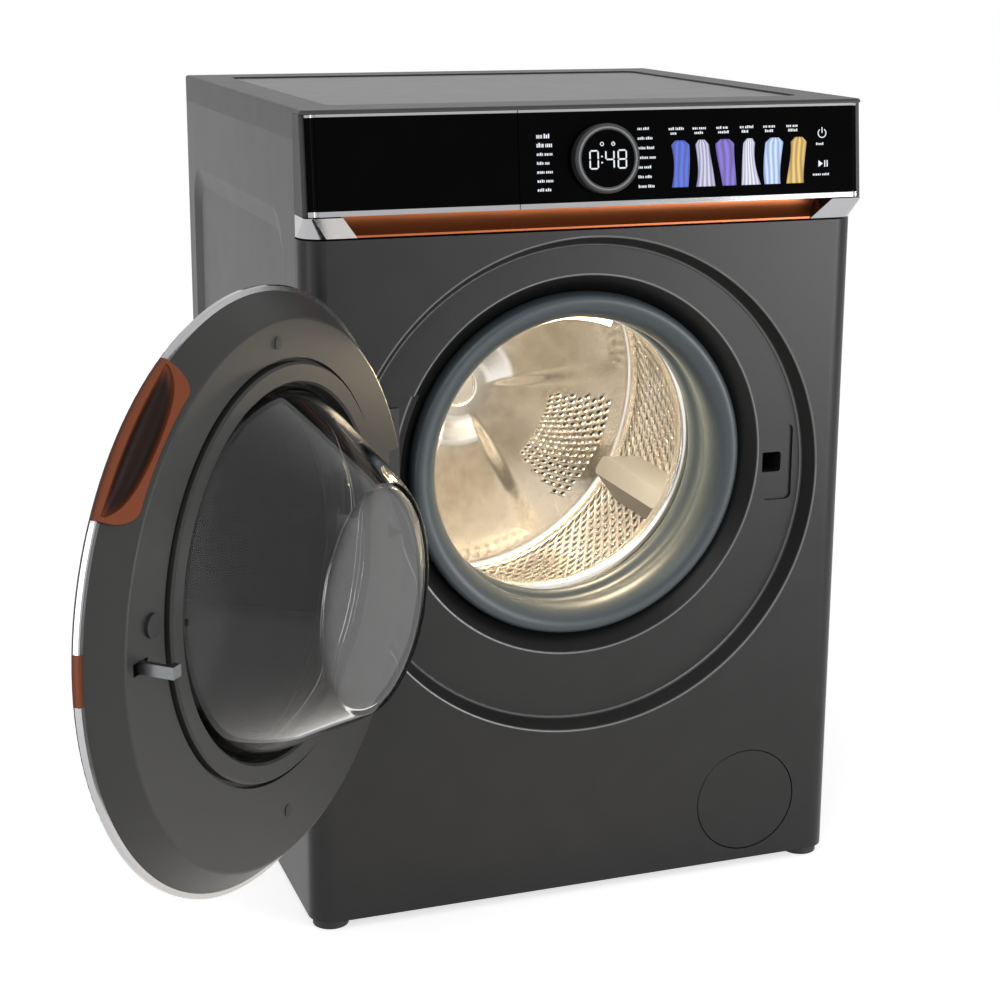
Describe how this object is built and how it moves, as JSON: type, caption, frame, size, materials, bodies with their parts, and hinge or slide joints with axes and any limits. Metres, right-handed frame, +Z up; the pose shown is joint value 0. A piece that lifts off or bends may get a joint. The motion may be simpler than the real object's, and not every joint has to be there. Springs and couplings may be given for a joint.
{
  "type": "front-loading washing machine",
  "caption": "Dark graphite front-loading washing machine, domed glass door swung open on a left hinge, glossy black control panel with dial and detergent drawer.",
  "frame": {"origin": "on the floor, midway between the four levelling feet", "axes": "+X to the right seen from the front, +Y from the front to the rear, +Z up"},
  "size_m": [0.885, 0.9974, 0.85],
  "materials": {
    "graphite_metal": "satin, fine grain",
    "graphite_plastic": "satin",
    "top_board": "satin",
    "black_glass": "glossy black glass",
    "chrome": "polished",
    "copper_brown": "satin metallic",
    "handle_brown": "fine grain",
    "dark_plastic": "matt",
    "grey_plastic": "matt",
    "white_plastic": "matt",
    "door_grey": "satin",
    "gasket_grey": "satin",
    "black_rubber": "matt",
    "stainless": "brushed",
    "zinc_steel": "zinc plated",
    "weight_iron": "cast",
    "motor_aluminium": "cast",
    "bowl_glass": "clear",
    "window_glass": "smoky",
    "lamp_lens": "frosted"
  },
  "bodies": {
    "cabinet": {"base_tray": "dark_plastic", "left_side_panel": "graphite_metal", "right_side_panel": "graphite_metal", "rear_panel": "zinc_steel", "rear_service_cover": "zinc_steel", "front_panel": "graphite_metal", "top_cover_frame": "graphite_plastic", "top_cover_board": "top_board", "cross_brace": "zinc_steel", "control_chassis": "dark_plastic", "control_fascia": "black_glass", "control_trim": "chrome", "control_corners": "chrome", "grip_insert": "copper_brown", "display_module": "black_glass", "dispenser_housing": "white_plastic", "inlet_valve": "white_plastic", "hoses": "black_rubber", "drain_pump": "dark_plastic", "door_lock": "dark_plastic", "hinge_bracket": "zinc_steel", "hinge_pin": "zinc_steel", "cabinet_screws": "zinc_steel", "mains_gland": "black_rubber", "suspension_springs": "zinc_steel", "damper_cylinders": "zinc_steel", "gasket": "gasket_grey", "drum_lamp": "lamp_lens"},
    "tub": {"tub_front_half": "grey_plastic", "tub_rear_half": "grey_plastic", "drum_bearings": "zinc_steel", "counterweights": "weight_iron", "motor_body": "motor_aluminium", "drive_belt": "black_rubber", "heater": "zinc_steel", "damper_rods": "grey_plastic"},
    "drum": {"drum_shell": "stainless", "drum_lifters": "grey_plastic", "drum_spider": "motor_aluminium", "drum_pulley": "motor_aluminium"},
    "motor_rotor": {"motor_pulley": "zinc_steel"},
    "door": {"door_inner_ring": "door_grey", "door_outer_shell": "graphite_plastic", "door_outer_window": "window_glass", "door_chrome_rim": "chrome", "door_handle": "handle_brown", "door_glass_bowl": "bowl_glass", "door_hinge_arm": "zinc_steel", "door_plugs": "black_rubber"},
    "hook": {"latch_hook": "zinc_steel"},
    "drawer": {"drawer_tray": "white_plastic", "drawer_fascia": "black_glass", "drawer_trim": "chrome"},
    "dial": {"dial_ring": "dark_plastic"},
    "service_flap": {"filter_cover": "graphite_metal"},
    "filter": {"pump_filter": "grey_plastic"},
    "foot_fl": {"foot_front_left": "black_rubber"},
    "foot_fr": {"foot_front_right": "black_rubber"},
    "foot_rl": {"foot_rear_left": "black_rubber"},
    "foot_rr": {"foot_rear_right": "black_rubber"}
  },
  "joints": [
    {"name": "door_swing", "type": "hinge", "parent": "cabinet", "child": "door", "pos_m": [-0.244, -0.3095, 0.4905], "axis": [0, 0, -1], "range_deg": [-133, 5]},
    {"name": "hook_tilt", "type": "hinge", "parent": "door", "child": "hook", "pos_m": [-0.53517, -0.67379, 0.461], "axis": [0, 0, 1], "range_deg": [-3, 3], "stiffness_Nm_per_rad": 0.5},
    {"name": "tub_bounce", "type": "slide", "parent": "cabinet", "child": "tub", "axis": [0, 0, 1], "range_m": [-0.008, 0.008], "stiffness_N_per_m": 20000, "springref_m": 0.02489, "deforming": ["gasket", "suspension_springs", "hoses"]},
    {"name": "drum_spin", "type": "hinge", "parent": "tub", "child": "drum", "pos_m": [0, 0.1495, 0.4735], "axis": [0, 1, 0], "continuous": true},
    {"name": "motor_spin", "type": "hinge", "parent": "tub", "child": "motor_rotor", "pos_m": [0, 0.2125, 0.136], "axis": [0, 1, 0], "continuous": true},
    {"name": "drawer_slide", "type": "slide", "parent": "cabinet", "child": "drawer", "axis": [0, -1, 0], "range_m": [0, 0.22]},
    {"name": "dial_turn", "type": "hinge", "parent": "cabinet", "child": "dial", "pos_m": [0.0065, -0.29089, 0.797], "axis": [0, -0.994, 0.1092], "continuous": true},
    {"name": "flap_pull", "type": "slide", "parent": "cabinet", "child": "service_flap", "axis": [0, -1, 0], "range_m": [0, 0.025]},
    {"name": "filter_turn", "type": "hinge", "parent": "cabinet", "child": "filter", "pos_m": [0.194, -0.2685, 0.0805], "axis": [0, 1, 0], "range_deg": [-180, 0]},
    {"name": "foot_fl_screw", "type": "slide", "parent": "cabinet", "child": "foot_fl", "axis": [0, 0, -1], "range_m": [0, 0.015]},
    {"name": "foot_fr_screw", "type": "slide", "parent": "cabinet", "child": "foot_fr", "axis": [0, 0, -1], "range_m": [0, 0.015]},
    {"name": "foot_rl_screw", "type": "slide", "parent": "cabinet", "child": "foot_rl", "axis": [0, 0, -1], "range_m": [0, 0.015]},
    {"name": "foot_rr_screw", "type": "slide", "parent": "cabinet", "child": "foot_rr", "axis": [0, 0, -1], "range_m": [0, 0.015]}
  ],
  "couplings": [
    {"joint": "motor_spin", "follows": "drum_spin", "ratio": 11.078}
  ]
}
